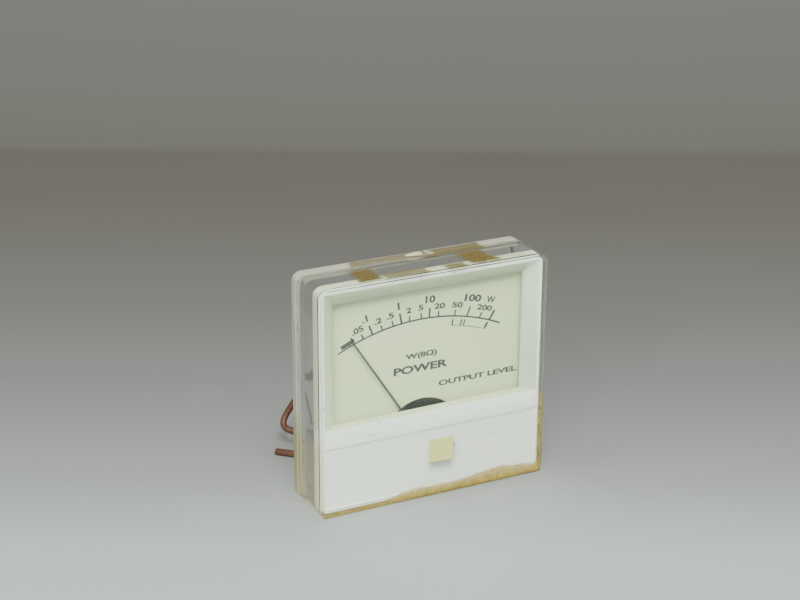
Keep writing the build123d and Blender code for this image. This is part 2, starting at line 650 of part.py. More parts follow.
def cord(points):
    """An insulated lead through a list of (x, depth, z) points: straight runs joined by tangent arcs."""
    places = [Vector(x, along(depth), z) for x, depth, z in points]
    radii = []
    for before, here, after in zip(places, places[1:], places[2:]):
        run_in, run_out = here - before, after - here
        half_turn = math.radians(run_in.get_angle(run_out)) / 2
        radii.append(BEND_SHARE * min(run_in.length, run_out.length) / math.tan(half_turn))
    route = FilletPolyline(*places, radius=radii)
    start = Plane(origin=places[0], z_dir=places[1] - places[0])
    tube = sweep(start * Circle(LEAD_D / 2), path=route)
    print("lead: length", round(route.length, 2), "radii", [round(r, 2) for r in radii])
    return tube


# Left lead: back from its tag, down round a loop on the left, then along the table behind the case.
LEAD_A = [
    (AXIS_X - TERM_X, LEAD_START, LEAD_Z),
    (-13.5, 28.5, 28.4),
    (-13.0, 37.5, 26.2),
    (-13.6, 45.0, 19.8),
    (-18.0, 48.6, 11.3),
    (-22.2, 48.6, 5.4),
    (-20.4, 44.6, 4.1),
    (-12.4, 40.6, 3.4),
    (0.5, 36.3, 1.2),
    (14.0, 32.0, 0.95),
    (26.6, 26.2, 0.95),
    (35.2, 18.6, 0.95),
    (38.9, 11.2, 0.95),
]
# Right lead: back and down from its tag to the table, then to the left, where it ends cut.
LEAD_B = [
    (AXIS_X + TERM_X, LEAD_START, LEAD_Z),
    (12.2, 28.5, 28.3),
    (11.0, 36.5, 23.2),
    (7.0, 41.5, 14.8),
    (0.6, 40.6, 8.0),
    (-8.2, 35.8, 3.8),
    (-17.4, 31.6, 0.95),
    (-26.6, 41.6, 0.95),
]


def solder_joints():
    """A bead of solder along each tongue, from the tag's root to the lead's bared end."""
    dome = Circle(SOLDER_R) & Pos(0, SOLDER_R) * Rectangle(4 * SOLDER_R, 2 * SOLDER_R)
    return [plate(Pos(x, TAG_LOW) * dome, TAG_BACK, LEAD_START - SOLDER_GAP) for x in terminal_x()]


def stiff_wire(radius, points):
    """A bare tinned wire bent square through a list of (x, depth, z) points."""
    places = [Vector(x, along(depth), z) for x, depth, z in points]
    route = FilletPolyline(*places, radius=3 * radius)
    start = Plane(origin=places[0], z_dir=places[1] - places[0])
    return sweep(start * Circle(radius), path=route)


def link_wires():
    """Left stud's head to the rear bridge, and the right one through the frame to the front abutment."""
    left, right = terminal_x()
    head = TRAY_FLOOR - STUD_HEAD_T - LINK_R
    bridge_x = AXIS_X - BRIDGE_REACH
    bridge_top = AXIS_Z + BRIDGE_W / 2
    bridge_depth = REAR_BRIDGE_DEPTH + LINK_R
    rear_link = stiff_wire(LINK_R, [
        (left, head, TERM_Z),
        (left, head, bridge_top + LINK_DROP),
        (bridge_x, bridge_depth, bridge_top + LINK_FALL),
        (bridge_x, bridge_depth, bridge_top),
    ])
    hole_x, hole_z = link_hole()
    cross = ABUTMENT_FRONT + LINK_R
    rim = TAB_RING / math.sqrt(2)
    front_link = stiff_wire(LINK_R, [
        (right, head, TERM_Z),
        (right, head, hole_z + LINK_RISE),
        (hole_x, FRAME_BACK + LINK_BEHIND, hole_z),
        (hole_x, cross, hole_z),
        (AXIS_X + rim, cross, AXIS_Z + rim),
    ])
    return [rear_link, front_link]


save("front_cover", front_cover())
save("rear_base", rear_base())
save("mask_frame", mask_frame())
save("paper_label", paper_label())
save("dial_plate", dial_plate())
save("dial_screws", *dial_screws())
save("movement_frame", movement_frame())
save("frame_screws", *frame_screws())
save("yoke_ring", yoke_ring())
save("core_magnet", core_magnet())
save("core_webs", core_webs())
save("coil_former", coil_loop(COIL_IN_R, FORMER_T, COIL_WIDTH))
save("coil_winding", coil_loop(FORMER_R, WINDING_T, COIL_WIDTH))
save("front_pivot", pivot(COIL_FRONT, FRONT_CUP - CUP_DEPTH + CUP_GAP))
save("rear_pivot", pivot(COIL_BACK, REAR_CUP + CUP_DEPTH - CUP_GAP))
save("front_jewel_screw", jewel_screw(FRONT_CUP, JEWEL_FRONT))
save("rear_jewel_screw", jewel_screw(REAR_CUP, JEWEL_BACK))
save("jewel_nut", jewel_nut())
save("front_hairspring", hairspring(FRONT_SPRING_DEPTH))
save("rear_hairspring", hairspring(REAR_SPRING_DEPTH))
save("pointer_hub", pointer_hub())
save("balance_weights", *balance_weights())
save("spring_collets", *spring_collets())
save("pointer", pointer())
save("front_bridge", bridge(FRONT_BRIDGE_DEPTH))
save("rear_bridge", bridge(REAR_BRIDGE_DEPTH))
save("bridge_posts", *bridge_posts())
save("bridge_screws", *bridge_screws())
save("abutment_washer", abutment_washer())
save("front_abutment", front_abutment())
save("zero_lever", zero_lever())
save("zero_adjuster", zero_adjuster())
save("pointer_stops", *pointer_stops())
save("terminal_studs", *terminal_studs())
save("terminal_nuts", *terminal_nuts())
save("solder_tags", *solder_tags())
save("solder_joints", *solder_joints())
save("link_wires", *link_wires())
save("lead_a", cord(LEAD_A))
save("lead_b", cord(LEAD_B))
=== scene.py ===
import math
import random

import bmesh
import bpy
from mathutils import Matrix, Vector


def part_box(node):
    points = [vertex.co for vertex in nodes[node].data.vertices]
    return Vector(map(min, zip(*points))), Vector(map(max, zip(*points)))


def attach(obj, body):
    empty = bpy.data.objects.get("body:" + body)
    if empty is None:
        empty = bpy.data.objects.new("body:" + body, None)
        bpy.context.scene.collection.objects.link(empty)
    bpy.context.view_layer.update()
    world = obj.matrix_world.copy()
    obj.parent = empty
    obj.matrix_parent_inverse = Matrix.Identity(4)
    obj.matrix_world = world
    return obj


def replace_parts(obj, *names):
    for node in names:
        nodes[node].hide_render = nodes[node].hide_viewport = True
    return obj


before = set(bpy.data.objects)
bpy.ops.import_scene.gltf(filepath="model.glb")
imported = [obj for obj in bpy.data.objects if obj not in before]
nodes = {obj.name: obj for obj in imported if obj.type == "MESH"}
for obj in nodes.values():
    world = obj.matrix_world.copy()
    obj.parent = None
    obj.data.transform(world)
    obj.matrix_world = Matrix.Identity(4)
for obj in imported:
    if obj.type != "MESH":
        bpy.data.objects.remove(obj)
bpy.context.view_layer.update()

# ---- Camera ----
# A long lens from the left of the meter and a little above it, aimed at the middle of the case.
YAW, PITCH, ROLL = (math.radians(a) for a in (27.458, 20.490, 0.308))
CAMERA_AT = (-0.215973, -0.403867, 0.222836)
ahead = Vector((math.sin(YAW) * math.cos(PITCH), math.cos(YAW) * math.cos(PITCH), -math.sin(PITCH)))
level = Vector((math.cos(YAW), -math.sin(YAW), 0))
upright = level.cross(ahead)
right = level * math.cos(ROLL) + upright * math.sin(ROLL)
up = upright * math.cos(ROLL) - level * math.sin(ROLL)
lens = bpy.data.cameras.new("camera")
lens.lens = 86.2
lens.sensor_width = 36
lens.clip_start = 0.01
camera = bpy.data.objects.new("camera", lens)
camera.matrix_world = Matrix.Translation(CAMERA_AT) @ Matrix(
    [(right[i], up[i], -ahead[i]) for i in range(3)]).to_4x4()
bpy.context.scene.collection.objects.link(camera)
bpy.context.scene.camera = camera


# ---- Table and light ----
# A pale grey table top under one wide soft lamp overhead and a weaker one from the front left. Its colour
# falls away into painted shade behind the meter. Its paint is matt with a faint cloudiness.
class Value:
    """A number that changes over a surface, written with ordinary arithmetic."""

    def __init__(self, finish, socket):
        self.finish, self.socket = finish, socket

    def sum_of(self, operation, first, second=0.0):
        return self.finish.add("ShaderNodeMath", {"operation": operation}, {0: first, 1: second})

    def __add__(self, other):
        return self.sum_of("ADD", self, other)

    def __sub__(self, other):
        return self.sum_of("SUBTRACT", self, other)

    def __rsub__(self, other):
        return self.sum_of("SUBTRACT", other, self)

    def __mul__(self, other):
        return self.sum_of("MULTIPLY", self, other)

    def __truediv__(self, other):
        return self.sum_of("DIVIDE", self, other)

    def __abs__(self):
        return self.sum_of("ABSOLUTE", self)

    __radd__, __rmul__ = __add__, __mul__

    def least(self, other):
        return self.sum_of("MINIMUM", self, other)

    def most(self, other):
        return self.sum_of("MAXIMUM", self, other)

    def held(self):
        """Kept between 0 and 1."""
        return self.finish.add("ShaderNodeClamp", {}, {0: self})

    def above(self, edge, soft):
        """1 where the number is over the edge, and 0 under it, with a soft change."""
        return ((self - edge) / soft + 0.5).held()


class Finish:
    """One material, or the light of the room, being mixed from nodes."""

    def __init__(self, name, world=None):
        self.made = world or bpy.data.materials.new(name)
        self.made.use_nodes = True
        self.tree = self.made.node_tree
        self.tree.nodes.clear()
        self.output = self.tree.nodes.new("ShaderNodeOutputWorld" if world else "ShaderNodeOutputMaterial")

    def add(self, kind, settings, inputs, out=0):
        node = self.tree.nodes.new(kind)
        for key, setting in settings.items():
            if key == "stops":
                ramp = node.color_ramp.elements
                while len(ramp) < len(setting):
                    ramp.new(1.0)
                for stop, (place, tone) in zip(ramp, setting):
                    stop.position, stop.color = place, tone
            else:
                setattr(node, key, setting)
        for key, value in inputs.items():
            socket = node.inputs[key] if isinstance(key, int) or key in node.inputs else next(
                s for s in node.inputs if s.identifier == key)
            if isinstance(value, Value):
                self.tree.links.new(value.socket, socket)
            else:
                socket.default_value = value
        return Value(self, node.outputs[out])

    def place(self):
        """Where a point is on the object, in metres."""
        return self.add("ShaderNodeTexCoord", {}, {}, "Object")

    def axes(self):
        apart = self.add("ShaderNodeSeparateXYZ", {}, {0: self.place()})
        return [Value(self, s) for s in apart.socket.node.outputs]

    def noise(self, scale, detail=3.0, rough=0.5, where=None):
        return self.add("ShaderNodeTexNoise", {}, {
            "Vector": where or self.place(), "Scale": scale, "Detail": detail, "Roughness": rough})

    def stretched(self, x, y, z):
        """The place with each direction made finer by a factor."""
        return self.add("ShaderNodeVectorMath", {"operation": "MULTIPLY"}, {0: self.place(), 1: (x, y, z)})

    def blend(self, share, first, second):
        """A colour between two others."""
        return self.add("ShaderNodeMix", {"data_type": "RGBA"}, {
            "Factor_Float": share, "A_Color": first, "B_Color": second}, 2)

    def relief(self, height, strength, distance):
        return self.add("ShaderNodeBump", {}, {"Height": height, "Strength": strength, "Distance": distance})

    def skin(self, **inputs):
        """The Principled surface; names use _ for a space."""
        return self.add("ShaderNodeBsdfPrincipled", {}, {k.replace("_", " "): v for k, v in inputs.items()})

    def done(self, surface):
        self.tree.links.new(surface.socket, self.output.inputs["Surface"])
        return self.made


def paint(r, g, b):
    """A colour as read off a screen, 0 to 255, as light."""
    return tuple((v / 255 / 12.92 if v <= 10 else ((v / 255 + 0.055) / 1.055) ** 2.4) for v in (r, g, b)) + (1.0,)


PAINT_SHARE = 0.70          # the paint is darker than it looks under the lamps


def table_paint():
    finish = Finish("table_paint")
    x, y, z = finish.axes()
    # Painted shade: the colour darkens with distance behind the meter along the camera's heading; the step at 0.31
    # to 0.32 m is the table's far edge against the grey beyond.
    away = x * math.sin(YAW) + y * math.cos(YAW)
    tones = [(-0.20, (230, 241, 240)), (-0.04, (222, 232, 231)), (0.0, (190, 194, 194)), (0.03, (174, 176, 173)),
             (0.07, (157, 157, 154)), (0.12, (140, 139, 134)), (0.18, (131, 128, 121)), (0.24, (124, 121, 112)),
             (0.312, (123, 120, 110)), (0.322, (134, 132, 121)), (0.42, (144, 143, 135)), (0.75, (166, 166, 160))]
    near, far = tones[0][0], tones[-1][0]
    shade = finish.add("ShaderNodeValToRGB", {"stops": [
        ((d - near) / (far - near), [v * PAINT_SHARE for v in paint(*c)[:3]] + [1]) for d, c in tones]},
        {0: (away - near) / (far - near)})
    cloud = finish.noise(14, 4)
    colour = finish.blend(cloud * 0.10, shade, paint(128, 128, 125))
    grain = finish.noise(2600, 2)
    return finish.done(finish.skin(
        Base_Color=colour, Roughness=0.55 + 0.15 * cloud, Specular_IOR_Level=0.3,
        Normal=finish.relief(grain, 0.25, 0.0002)))


def solid(name, shape, body=None):
    """Turns a bmesh into an object, which rides on a body unless it is part of the room."""
    mesh = bpy.data.meshes.new(name)
    bmesh.ops.recalc_face_normals(shape, faces=shape.faces)
    shape.to_mesh(mesh)
    shape.free()
    piece = bpy.data.objects.new(name, mesh)
    bpy.context.scene.collection.objects.link(piece)
    if body:
        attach(piece, body)
    return piece


def table_top():
    shape = bmesh.new()
    bmesh.ops.create_grid(shape, x_segments=24, y_segments=24, size=3.0)
    return solid("table", shape)


table = table_top()
table.data.materials.append(table_paint())

SKY_SHARE = 0.60           # light from all round
LAMP_SHARE = 1.04          # light from the overhead lamp
FILL_SHARE = 0.38          # light from the one at the front left


def soft_lamp(name, place, width, share):
    """A square lamp that lights a white surface at the meter to the given share."""
    lamp = bpy.data.lights.new(name, "AREA")
    lamp.shape, lamp.size = "SQUARE", width
    lamp.color = (0.97, 1.0, 0.97)
    lamp.energy = share * math.pi ** 2 * Vector(place).length_squared
    hung = bpy.data.objects.new(name, lamp)
    hung.location = place
    hung.rotation_euler = (-Vector(place)).to_track_quat("-Z", "Y").to_euler()
    bpy.context.scene.collection.objects.link(hung)


soft_lamp("overhead_lamp", (-0.22, -0.68, 1.02), 0.50, LAMP_SHARE)
soft_lamp("front_lamp", (-0.75, -0.75, 0.55), 0.45, FILL_SHARE)


def room_light():
    """Pale sky that lights everything, with a grey wall where the camera or a gloss looks past the table."""
    room = Finish("room", bpy.data.worlds.new("room"))
    sky = room.add("ShaderNodeBackground", {}, {"Color": (0.96, 0.98, 1.0, 1), "Strength": SKY_SHARE})
    wall = room.add("ShaderNodeBackground", {}, {"Color": paint(138, 139, 133)})
    looked_at = room.add("ShaderNodeLightPath", {}, {}, "Is Camera Ray")
    mirrored = room.add("ShaderNodeLightPath", {}, {}, "Is Glossy Ray")
    return room.done(room.add("ShaderNodeMixShader", {}, {0: looked_at.most(mirrored), 1: sky, 2: wall}))


bpy.context.scene.world = room_light()

# ---- Leads ----
# Two lengths of old brown hook-up wire, soft PVC over seven tinned strands, soldered to the tags behind the case
# and cut off at their free ends. Each hangs from its tag and then lies on the table.
MM = 0.001
HALF_DEPTH = 8.25          # of the case; depths are counted from its front face
LEAD_R = 0.9
LEAD_ROUTES = {
    "lead_a": [(-13.8, 19.6, 27.7), (-13.5, 28.5, 28.4), (-13.0, 37.5, 26.2), (-13.6, 45.0, 19.8),
               (-18.0, 48.6, 11.3), (-22.2, 48.6, 5.4), (-20.4, 44.6, 4.1), (-12.4, 40.6, 3.4), (0.5, 36.3, 1.2),
               (14.0, 32.0, 0.95), (26.6, 26.2, 0.95), (35.2, 18.6, 0.95), (38.9, 11.2, 0.95)],
    "lead_b": [(12.2, 19.6, 27.7), (12.2, 28.5, 28.3), (11.0, 36.5, 23.2), (7.0, 41.5, 14.8), (0.6, 40.6, 8.0),
               (-8.2, 35.8, 3.8), (-17.4, 31.6, 0.95), (-26.6, 41.6, 0.95)],
}
STRANDS, STRAND_R, STRAND_REACH = 7, 0.135, 0.55


def at(x, depth, z):
    """A place given across the case, behind its front face, and up, in millimetres."""
    return Vector((x, depth - HALF_DEPTH, z)) * MM


def lead_skin():
    finish = Finish("brown_pvc")
    cloud = finish.noise(260, 4)
    grime = finish.noise(900, 3, 0.6)
    colour = finish.blend(cloud, paint(74, 42, 28), paint(108, 68, 48))
    colour = finish.blend(grime.above(0.62, 0.2) * 0.5, colour, paint(140, 104, 82))
    return finish.done(finish.skin(
        Base_Color=colour, Roughness=0.34 + 0.25 * grime, Specular_IOR_Level=0.5,
        Normal=finish.relief(finish.noise(1800, 2), 0.2, 0.0001)))


def metal(name, colour, tarnish, shine, share=0.35, brushed=(1, 1, 1)):
    """Bare or plated metal: patches of tarnish, fine tool marks, and dull spots."""
    finish = Finish(name)
    patch = finish.noise(420, 4, 0.6).above(0.56, 0.35)
    marks = finish.noise(2400, 2, 0.5, finish.stretched(*brushed))
    return finish.done(finish.skin(
        Base_Color=finish.blend(patch * share, paint(*colour), paint(*tarnish)), Metallic=1.0,
        Roughness=shine + 0.22 * patch + 0.10 * marks, Normal=finish.relief(marks, 0.18, 0.00005)))


tinned = metal("tinned_copper", (205, 202, 194), (160, 140, 118), 0.28)


def strands(name, end, outward, body):
    """The cut conductor: six strands round a seventh, just proud of the insulation."""
    shape = bmesh.new()
    turn = outward.to_track_quat("Z", "Y").to_matrix().to_4x4()
    for n in range(STRANDS):
        ring = 0 if n == STRANDS - 1 else 2.05 * STRAND_R
        across = Vector((ring * math.cos(n * math.pi / 3), ring * math.sin(n * math.pi / 3), 0))
        reach = STRAND_REACH * (0.75 + 0.08 * n)
        sit = Matrix.Translation(end) @ turn @ Matrix.Translation((across + Vector((0, 0, reach / 4))) * MM)
        bmesh.ops.create_cone(shape, cap_ends=True, segments=10, radius1=STRAND_R * MM,
                              radius2=STRAND_R * 0.85 * MM, depth=reach * 1.5 * MM, matrix=sit)
    piece = solid(name, shape, body)
    piece.data.materials.append(tinned)
    return piece


def lead(name):
    route = [at(*point) for point in LEAD_ROUTES[name]]
    line = bpy.data.curves.new(name + "_wire", "CURVE")
    line.dimensions = "3D"
    spline = line.splines.new("NURBS")
    spline.points.add(len(route) - 1)
    for point, place in zip(spline.points, route):
        point.co = (*place, 1)
    spline.order_u = 3
    spline.use_endpoint_u = True
    spline.resolution_u = 14
    line.bevel_depth = LEAD_R * MM
    line.bevel_resolution = 5
    line.use_fill_caps = True
    line.materials.append(brown_pvc)
    wire = bpy.data.objects.new(name + "_wire", line)
    bpy.context.scene.collection.objects.link(wire)
    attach(wire, "case")
    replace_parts(wire, name)
    cut = strands(name + "_cut_end", route[-1], route[-1] - route[-2], "case")
    bared = strands(name + "_bared_end", route[0], route[0] - route[1], "case")


brown_pvc = lead_skin()
for name in LEAD_ROUTES:
    lead(name)


# ---- Clear case ----
# Front cover and rear tray, moulded in clear polystyrene that has yellowed a little. The tray's tongue slips into
# the cover, and the joint shows as a bright line. The corners are rounded, the surfaces finely scratched. A milky
# share along the side walls, foot and rear lip is painted light, standing in for the light those clear edges
# gather.
def copied(node, name, move=None):
    """A node's own surface as a new mesh, with doubled corners joined and flat faces made whole."""
    shape = bmesh.new()
    shape.from_mesh(nodes[node].data)
    bmesh.ops.remove_doubles(shape, verts=shape.verts, dist=2e-6)
    bmesh.ops.dissolve_limit(shape, angle_limit=math.radians(0.6), verts=shape.verts, edges=shape.edges)
    for vert in shape.verts:
        if move:
            vert.co = move(vert.co)
    mesh = bpy.data.meshes.new(name)
    shape.to_mesh(mesh)
    shape.free()
    piece = bpy.data.objects.new(name, mesh)
    bpy.context.scene.collection.objects.link(piece)
    return piece


def smoothed(piece):
    """Shades the faces as one curved surface."""
    for face in piece.data.polygons:
        face.use_smooth = True
    return piece


def eased(node, name, body, material, round_off=0.12, steps=2, move=None):
    """A piece that stands for a node, with its sharp edges rounded over."""
    piece = smoothed(copied(node, name, move))
    edge = piece.modifiers.new("rounded_edges", "BEVEL")
    edge.width, edge.segments = round_off * MM, steps
    edge.limit_method, edge.angle_limit = "ANGLE", math.radians(38)
    edge.harden_normals = True
    piece.data.materials.clear()
    piece.data.materials.append(material)
    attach(piece, body)
    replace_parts(piece, node)
    return piece


def clear_styrene():
    finish = Finish("clear_styrene")
    haze = finish.noise(55, 5, 0.6)
    scratches = finish.noise(300, 3, 0.6, finish.stretched(6, 6, 0.4))
    x, y, z = finish.axes()
    side = abs(x).above(0.0318, 0.0006)
    low = 1 - z.above(0.0215, 0.008)
    foot = 1 - z.above(0.0012, 0.0010)
    tint = finish.blend((side * low * 0.9).most(foot), paint(250, 251, 247), paint(238, 232, 196))
    plastic = finish.skin(
        Base_Color=tint, Roughness=(haze * 0.06 + scratches.above(0.66, 0.1) * 0.08).held(), IOR=1.49,
        Transmission_Weight=1.0, Normal=finish.relief(scratches, 0.03, 0.00003))
    # Painted light: a milky diffuse share, strongest on the lower side walls, the foot and the rear lip, stands in
    # for the light the clear edges gather; its yellow low down is the plastic's own.
    milky_edge_glow = finish.skin(
        Base_Color=finish.blend((side * low).most(foot), paint(242, 241, 220), paint(222, 208, 150)),
        Roughness=0.25 + 0.2 * haze, Specular_IOR_Level=0.5)
    # How much of that painted edge glow each place gets.
    lip = y.above(0.0052, 0.0006) * (side.most(z.above(0.0600, 0.0004)))
    edges = (side * (0.35 + 1.1 * low)).most(foot).most(lip * 2.5).most(z.above(0.0612, 0.0006) * 0.05)
    plastic = finish.add("ShaderNodeMixShader", {}, {0: (0.10 + 0.14 * haze) * edges, 1: plastic, 2: milky_edge_glow})
    lamp_ray = finish.add("ShaderNodeLightPath", {}, {}, "Is Shadow Ray")
    let_through = finish.add("ShaderNodeBsdfTransparent", {}, {"Color": (0.93, 0.94, 0.90, 1)})
    return finish.done(finish.add("ShaderNodeMixShader", {}, {0: lamp_ray, 1: plastic, 2: let_through}))


JOINT_DEPTH, JOINT_GAP = 11.7, 0.03
JOINT_FOUND = 0.01         # how near to the joint's depth a corner counts as on it
styrene = clear_styrene()


def behind_joint(place):
    """The tray's rim stands a hair behind the cover's."""
    if abs(place.y / MM + HALF_DEPTH - JOINT_DEPTH) < JOINT_FOUND:
        place.y += JOINT_GAP * MM
    return place


eased("front_cover", "clear_cover", "case", styrene, 0.10)
eased("rear_base", "clear_tray", "case", styrene, 0.10, move=behind_joint)

# ---- Mask ----
# A white moulded frame against the inside of the clear front: a bevelled window, and below it a blank panel with
# a fine step across it. Slightly aged white polystyrene with a few specks of dust. The window's bevels are painted
# a darker green-cream, as painted shade and a painted reflection of the dial.
MASK_SETBACK = 0.05


def white_styrene():
    finish = Finish("white_styrene")
    x, y, z = finish.axes()
    cloud = finish.noise(30, 4)
    colour = finish.blend(cloud, paint(241, 248, 244), paint(236, 244, 240))
    # Painted shade and reflection: the window's bevels take a darker green-cream, darker towards the top right,
    # and the right bevel is painted lighter high up than low down.
    slope = y.above(-0.00636, 0.00012) * z.above(0.0238, 0.0004)
    bevel_painted_shading = finish.blend((x + z * 0.6).above(0.030, 0.050), paint(203, 214, 182), paint(194, 205, 172))
    right_bevel_painted_light = finish.blend(z.above(0.042, 0.02), paint(190, 201, 186), paint(212, 223, 206))
    bevel_painted_shading = finish.blend(x.above(0.0275, 0.0006), bevel_painted_shading, right_bevel_painted_light)
    colour = finish.blend(slope, colour, bevel_painted_shading)
    step = (0.00014 - abs(z - 0.0186)).above(0.0, 0.0001)
    colour = finish.blend(step * 0.35, colour, paint(150, 156, 150))
    specks = finish.noise(700, 1, 0.5).above(0.755, 0.02)
    colour = finish.blend(specks * 0.55, colour, paint(130, 134, 122))
    return finish.done(finish.skin(
        Base_Color=colour, Roughness=0.32 + 0.14 * cloud, Specular_IOR_Level=0.4,
        Normal=finish.relief(finish.noise(900, 2), 0.06, 0.00008)))


def set_back(place):
    return place + Vector((0, MASK_SETBACK * MM, 0))


eased("mask_frame", "white_mask", "case", white_styrene(), 0.14, 3, set_back)

# ---- Paper label ----
# A small square of yellowed paper on the outside of the front, a little crooked, with one corner lifting.
LABEL = (1.8, 12.9, 6.9, 6.4, -2.5)            # centre across and up, width, height, tilt
LABEL_T, LABEL_GLUE = 0.1, 0.02


def label_paper():
    finish = Finish("yellowed_paper")
    fibre = finish.noise(2200, 4, 0.65)
    stain = finish.noise(240, 3)
    colour = finish.blend(stain, paint(232, 234, 138), paint(237, 239, 152))
    colour = finish.blend(fibre.above(0.62, 0.2) * 0.35, colour, paint(205, 196, 140))
    return finish.done(finish.skin(Base_Color=colour, Roughness=0.75 + 0.1 * fibre, Specular_IOR_Level=0.25,
                                   Normal=finish.relief(fibre, 0.35, 0.00005)))


def closed_sheet(columns, rows, place):
    """Two grids of corners, back and front, joined by a rim. place(side, i, j) says where each corner is."""
    shape = bmesh.new()
    grids = [{(i, j): shape.verts.new(place(side, i, j)) for i in range(columns + 1) for j in range(rows + 1)}
             for side in (0, 1)]
    for grid in grids:
        for i in range(columns):
            for j in range(rows):
                shape.faces.new([grid[i, j], grid[i + 1, j], grid[i + 1, j + 1], grid[i, j + 1]])
    rim = ([(i, 0) for i in range(columns)] + [(columns, j) for j in range(rows)]
           + [(i, rows) for i in range(columns, 0, -1)] + [(0, j) for j in range(rows, 0, -1)])
    for here, there in zip(rim, rim[1:] + rim[:1]):
        shape.faces.new([grids[0][here], grids[0][there], grids[1][there], grids[1][here]])
    return shape


def label_sheet():
    x0, z0, width, height, tilt = LABEL
    columns, rows = 14, 13
    lean = math.radians(tilt)

    def place(side, i, j):
        u, v = i / columns - 0.5, j / rows - 0.5
        lift = 0.04 * max(0.0, u + v - 0.62) + 0.012 * math.sin(9 * u) * math.cos(7 * v)
        x = x0 + u * width * math.cos(lean) - v * height * math.sin(lean)
        z = z0 + u * width * math.sin(lean) + v * height * math.cos(lean)
        return at(x, -LABEL_GLUE - lift - side * LABEL_T, z)

    return solid("paper_square", closed_sheet(columns, rows, place), "case")


label = label_sheet()
label.data.materials.append(label_paper())
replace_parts(label, "paper_label")

# ---- Old tape ----
# What is left of sticky tape that once held the meter in its panel: amber film and dried glue on the top of the
# case, and a ragged golden band along the foot of its front. Thin, see-through and rough at its edges.
CASE_TOP = 62.0


def glue(name, tones, patches, edge=None):
    """Dried glue. Each patch has its middle and half size both ways, a slant, how round and soft it is, and how
    thick. An edge gives the height of a band by how far across it is."""
    finish = Finish(name)
    x, y, z = finish.axes()
    across = x * 1000
    other = z * 1000 if edge else y * 1000 + HALF_DEPTH
    wander = (finish.noise(300, 4, 0.6) - 0.5) * 3.0
    mottle = finish.noise(900, 4, 0.65)
    cover = None
    for mid_u, mid_v, half_u, half_v, slant, soft, strength in patches:
        u = abs(across + other * slant - mid_u + wander) - half_u
        v = abs(other - mid_v + wander * 0.5) - half_v
        patch = (1 - u.most(v).above(0.0, soft)) * strength
        cover = patch if cover is None else cover.most(patch)
    if edge:
        first, last, tallest = edge[0][0], edge[-1][0], 10.0
        rise = finish.add("ShaderNodeValToRGB", {"stops": [
            ((at_x - first) / (last - first), [height / tallest] * 3 + [1]) for at_x, height in edge]},
            {0: (across - first) / (last - first)})
        under = rise * tallest + wander * 0.35 - other
        cover = cover.most(under.above(0.15, 0.4) * (0.52 + 0.10 * under).least(0.95))
    cover = (cover * (0.70 + 0.55 * mottle)).held()
    colour = finish.blend(mottle.above(0.5, 0.4), paint(*tones[0]), paint(*tones[1]))
    return finish.done(finish.skin(
        Base_Color=colour, Roughness=0.30 + 0.3 * mottle, Alpha=cover, Specular_IOR_Level=0.4,
        Normal=finish.relief(mottle, 0.4, 0.0001)))


FILM_BACK, FILM_FRONT, FILM_WRINKLE = 0.012, 0.03, 0.03      # how far each side stands off the case


def film(name, corners, columns, rows, material):
    """A thin wrinkled film over a flat face, closed all round so that it has a real thickness."""
    low, wide, high = (Vector(c) for c in corners)
    out = (wide - low).cross(high - low).normalized()
    seeded = random.Random(len(name))
    bumps = [[seeded.uniform(0, FILM_WRINKLE) for _ in range(rows + 1)] for _ in range(columns + 1)]

    def place(side, i, j):
        off = (FILM_BACK, FILM_FRONT)[side] + bumps[i][j]
        return low + (wide - low) * (i / columns) + (high - low) * (j / rows) + out * off * MM

    piece = smoothed(solid(name, closed_sheet(columns, rows, place), "case"))
    piece.data.materials.append(material)


top_glue = glue("top_glue", ((112, 92, 32), (142, 122, 58)), [
    (-17.6, 5.6, 2.9, 3.9, -0.05, 1.6, 0.62),
    (15.6, 5.8, 3.5, 4.1, 0.16, 1.6, 0.64),
    (13.0, 13.4, 7.0, 2.4, 0.0, 1.2, 0.42),
    (-6.5, 14.3, 11.0, 1.8, 0.0, 1.0, 0.34),
    (-7.5, 2.4, 6.0, 1.7, 0.0, 0.8, 0.36),
    (6.6, 2.2, 3.0, 1.5, 0.0, 0.7, 0.40),
    (4.2, 11.1, 2.0, 0.8, 0.0, 0.7, 0.55),
])
film("top_tape", (at(-24, 0.6, CASE_TOP), at(24, 0.6, CASE_TOP), at(-24, 15.9, CASE_TOP)), 64, 20,
     top_glue)

FOOT_EDGE = [(-32.2, 1.7), (-24, 1.6), (-14.6, 1.8), (-10, 3.1), (-5, 3.5), (3, 3.1), (9, 3.5), (17, 4.3),
             (20, 4.5), (23, 3.9), (26, 3.8), (30, 3.3), (32.2, 3.6)]
foot_glue = glue("foot_glue", ((184, 156, 62), (214, 194, 112)), [
    (32.0, 10.0, 0.9, 13.0, 0.0, 0.7, 0.50),
], FOOT_EDGE)
film("foot_tape", (at(-32.1, 0, 0.45), at(32.1, 0, 0.45), at(-32.1, 0, 26.0)), 72, 30, foot_glue)


def glue_blob():
    """A dried cream nub of glue on the tray's top edge."""
    shape = bmesh.new()
    bmesh.ops.create_icosphere(shape, subdivisions=4, radius=1.0)
    seeded = random.Random(11)
    waves = [(Vector([seeded.uniform(-3, 3) for _ in range(3)]), seeded.uniform(0, 6)) for _ in range(6)]
    for vert in shape.verts:
        swell = 1 + 0.10 * sum(math.sin(w.dot(vert.co) + p) for w, p in waves)
        spot = Vector((vert.co.x * 2.2, vert.co.y * 0.9, max(vert.co.z, -0.15) * 0.38)) * swell
        vert.co = at(1.2 + spot.x, 14.3 + spot.y, CASE_TOP + 0.05 + spot.z)
    return solid("glue_nub", shape, "case")


def cream_glue():
    finish = Finish("cream_glue")
    grain = finish.noise(800, 4, 0.6)
    colour = finish.blend(grain, paint(205, 192, 148), paint(232, 226, 196))
    return finish.done(finish.skin(Base_Color=colour, Roughness=0.45 + 0.2 * grain,
                                   Normal=finish.relief(grain, 0.6, 0.0002)))


nub = smoothed(glue_blob())
nub.data.materials.append(cream_glue())
